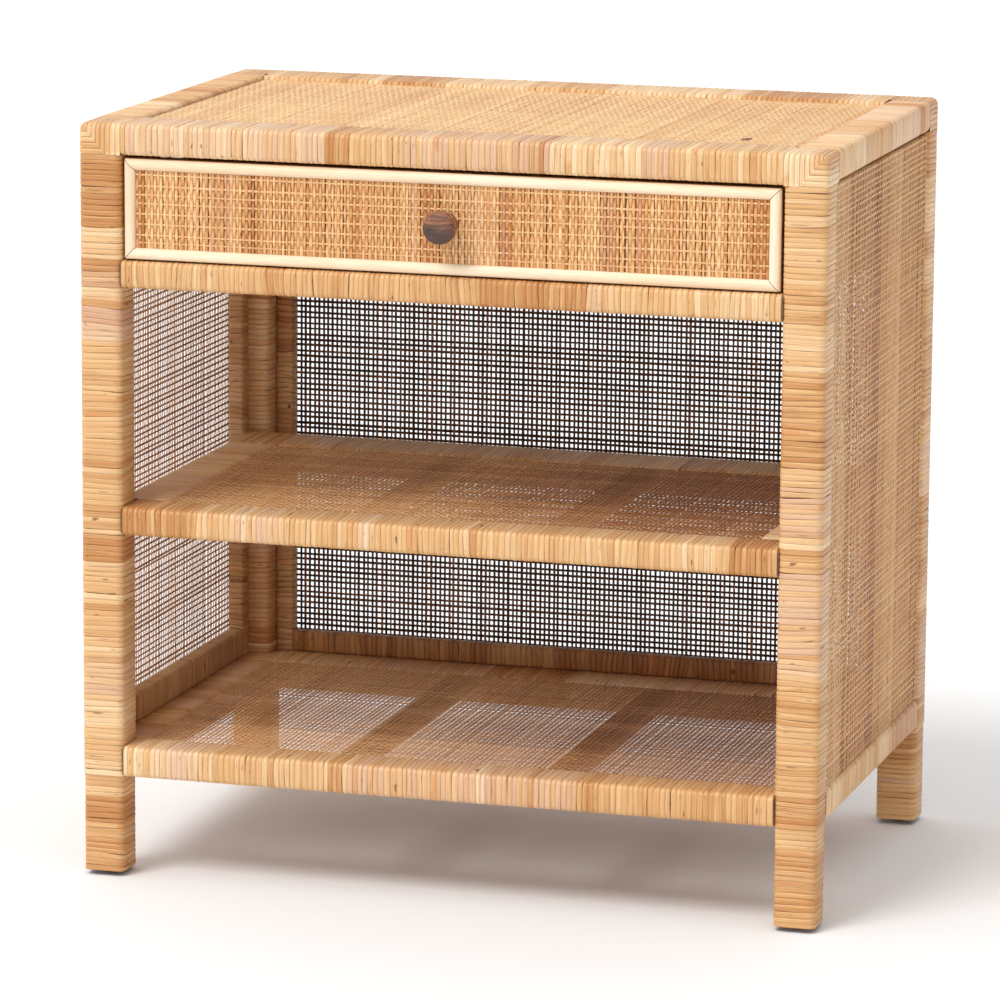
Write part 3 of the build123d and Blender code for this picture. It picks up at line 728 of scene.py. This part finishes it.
# A paler copy of the close cane: painted light, for the stronger light that falls on the top.
top_cane = peel_material("top cane", Pale=colour(254, 220, 162), Tan=colour(236, 180, 116),
                         Deep=colour(190, 122, 64), Blushed=colour(228, 176, 142))
for name, strips, stands_for in (("top_cane_lengthways", found[:1], ("top_cane",)),
                                 ("top_cane_crosswise", found[1:], ())):
    ribbon_piece(name, strips, top_cane, "carcass", stands_for, columns=1)
board_wood = wood("board", colour(176, 122, 74), colour(130, 84, 46), "X")
dress(("top_board", "drawer_front_board"), board_wood)

# ---- The drawer: a board faced with close-woven cane, four half-round beads round it, and a plain
# ---- box behind it that slides on two runners.
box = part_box("drawer_front_cane")
found = weave((box[0].x, box[1].x), (box[0].z, box[1].z), (X, Z, Y), box[0].y, -1, close_pitch,
              (1.3 * MM, 0.95 * MM), (0.26 * MM, 0.3 * MM), rng, (0.46, 0.54), (0.75, 0.6),
              wander=0.1, subdivide=4, bulge=0.07, painted_lift_shade=0.2, painted_back_shade=0.8)
ribbon_piece("drawer_cane_strands", found, close_cane, "drawer",
             ("drawer_front_cane",), columns=1)
front_low, front_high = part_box("bead_bottom")[0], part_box("bead_top")[1]
# Mitre: a thin dark glue line where the distance to the side edge is that to the top or bottom.
mitre, ins, out = effect("mitre line", {"Place": (0.0, 0.0, 0.0), "Colour": colour(250, 234, 208)},
                         {"Colour": "Color"})
apart = node(mitre, "SeparateXYZ", {0: ins["Place"]}).outputs
from_side = maths(mitre, "SUBTRACT", front_high.x, maths(mitre, "ABSOLUTE", apart["X"]))
from_middle = maths(mitre, "ABSOLUTE", maths(mitre, "SUBTRACT", apart["Z"],
                                             (front_low.z + front_high.z) / 2))
from_end = maths(mitre, "SUBTRACT", (front_high.z - front_low.z) / 2, from_middle)
off = maths(mitre, "ABSOLUTE", maths(mitre, "SUBTRACT", from_side, from_end))
finish_outputs(mitre, out, Colour=mixed(mitre, remap(mitre, off, 0.2 * MM, 0.5 * MM, 1.0, 0.0),
                                        ins["Colour"], colour(92, 56, 28)))
pale_wood = (colour(252, 234, 206), colour(240, 210, 172))
for names, along in ((("bead_top", "bead_bottom"), "X"), (("bead_left", "bead_right"), "Z")):
    bead_wood = wood("bead wood along " + along, *pale_wood, along, 60.0, 900.0, 0.15)
    tree = bead_wood.node_tree
    shader = tree.nodes["Principled BSDF"]
    plain = shader.inputs["Base Color"].links[0].from_socket
    line = tree.nodes.new("ShaderNodeGroup")
    line.node_tree = mitre
    tree.links.new(node(tree, "TexCoord").outputs["Object"], line.inputs["Place"])
    tree.links.new(plain, line.inputs["Colour"])
    tree.links.new(line.outputs["Colour"], shader.inputs["Base Color"])
    dress(names, bead_wood)
box_wood = (colour(214, 178, 130), colour(176, 134, 88))
dress(("drawer_side_left", "drawer_side_right", "drawer_bottom", "drawer_runner_left",
       "drawer_runner_right"), wood("box wood lengthways", *box_wood, "Y"))
dress(("drawer_back", "drawer_stops"), wood("box wood across", *box_wood, "X"))

# ---- The knob, turned from a dark streaky hardwood and oiled. A screw from inside the drawer holds
# ---- it on.
knob_wood = wood("knob wood", colour(164, 100, 64), colour(66, 36, 24), "X", 330.0, 1200.0, 0.7)
tree = knob_wood.node_tree
shader = tree.nodes["Principled BSDF"]
plain = shader.inputs["Base Color"].links[0].from_socket
place = node(tree, "TexCoord").outputs["Object"]
apart = node(tree, "SeparateXYZ", {0: place}).outputs
# Painted shade: the lower half is darkened nearly black, as in shadow; its edge slopes down to the
# right and is uneven.
level = maths(tree, "MULTIPLY_ADD", apart["X"], 0.27, apart["Z"])
uneven = noise(tree, place, 160.0, 3.0, (0.2, 1.0, 1.0))
level = maths(tree, "MULTIPLY_ADD", uneven, 12 * MM, level)
knob_low, knob_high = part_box("knob")
middle = (knob_low.z + knob_high.z) / 2 + 6 * MM
knob_painted_shade = remap(tree, level, middle - 4 * MM, middle + 3 * MM, 0.85, 0.0)
tree.links.new(mixed(tree, knob_painted_shade, plain, colour(46, 24, 16)), shader.inputs["Base Color"])
dress(("knob",), knob_wood)

# ---- Metal: the knob's screw, and the domed glides nailed under the feet, of nickelled steel that
# ---- has gone dull.


def metal(name, shade, rough):
    """Plain worn metal: its roughness changes a little from place to place."""
    material = bpy.data.materials.new(name)
    material.use_nodes = True
    tree = material.node_tree
    shader = tree.nodes["Principled BSDF"]
    place = node(tree, "TexCoord").outputs["Object"]
    worn = noise(tree, place, 400.0, 3.0)
    roughness = remap(tree, worn, 0.3, 0.7, rough - 0.1, rough + 0.1)
    tree.links.new(roughness, shader.inputs["Roughness"])
    tint = mixed(tree, worn, shade, tuple(0.8 * v for v in shade[:3]) + (1.0,))
    tree.links.new(tint, shader.inputs["Base Color"])
    shader.inputs["Metallic"].default_value = 1.0
    return material


dress(("foot_glides", "knob_screw"), metal("dull nickel", colour(150, 148, 146), 0.38))

# ---- The studio: a plain pale floor, soft light from all round, brightest high on the left, and a
# ---- broad soft lamp above the front.
floor_mesh = bpy.data.meshes.new("floor")
reach = 40.0
floor_corners = [(-reach, -reach, 0), (reach, -reach, 0), (reach, reach, 0), (-reach, reach, 0)]
floor_mesh.from_pydata(floor_corners, [], [(0, 1, 2, 3)])
floor = bpy.data.objects.new("floor", floor_mesh)
bpy.context.scene.collection.objects.link(floor)
pale = bpy.data.materials.new("pale floor")
pale.use_nodes = True
pale.node_tree.nodes["Principled BSDF"].inputs["Base Color"].default_value = (0.9, 0.9, 0.9, 1.0)
pale.node_tree.nodes["Principled BSDF"].inputs["Roughness"].default_value = 0.9
floor_mesh.materials.append(pale)

world = bpy.data.worlds.new("studio")
world.use_nodes = True
sky = world.node_tree
towards = node(sky, "TexCoord").outputs["Generated"]
bright_side = node(sky, "VectorMath", {0: towards, 1: (-0.5, -0.2, 0.84)}, operation="DOT_PRODUCT")
strength = remap(sky, bright_side.outputs["Value"], -1.0, 1.0, 0.1, 1.06)
sky.links.new(strength, sky.nodes["Background"].inputs["Strength"])
sky.nodes["Background"].inputs["Color"].default_value = (1.0, 1.0, 1.0, 1.0)
bpy.context.scene.world = world

lamp = bpy.data.objects.new("soft lamp", bpy.data.lights.new("soft lamp", "SUN"))
lamp.data.energy = 1.45
lamp.data.angle = math.radians(24.0)
lamp.rotation_euler = (math.radians(38.0), 0.0, math.radians(-28.0))
bpy.context.scene.collection.objects.link(lamp)

# ---- The camera looks down at the front and the right side from about 4.6 m away.
aim = np.array([-0.0129, 0.0119, 0.2859])
azimuth, elevation, roll = math.radians(16.35), math.radians(10.86), math.radians(0.43)
distance = 4.565
back_way = np.array([math.sin(azimuth) * math.cos(elevation),
                     -math.cos(azimuth) * math.cos(elevation), math.sin(elevation)])
camera = bpy.data.objects.new("camera", bpy.data.cameras.new("camera"))
camera.location = aim + distance * back_way
camera.rotation_euler = (math.pi / 2 - elevation, 0.0, azimuth)
camera.rotation_euler.rotate_axis("Z", roll)
camera.data.lens = 203.4
camera.data.sensor_width = 36.0
camera.data.clip_start = 0.1
camera.data.clip_end = 200.0
bpy.context.scene.collection.objects.link(camera)
bpy.context.scene.camera = camera
bpy.context.scene.view_settings.view_transform = "Standard"
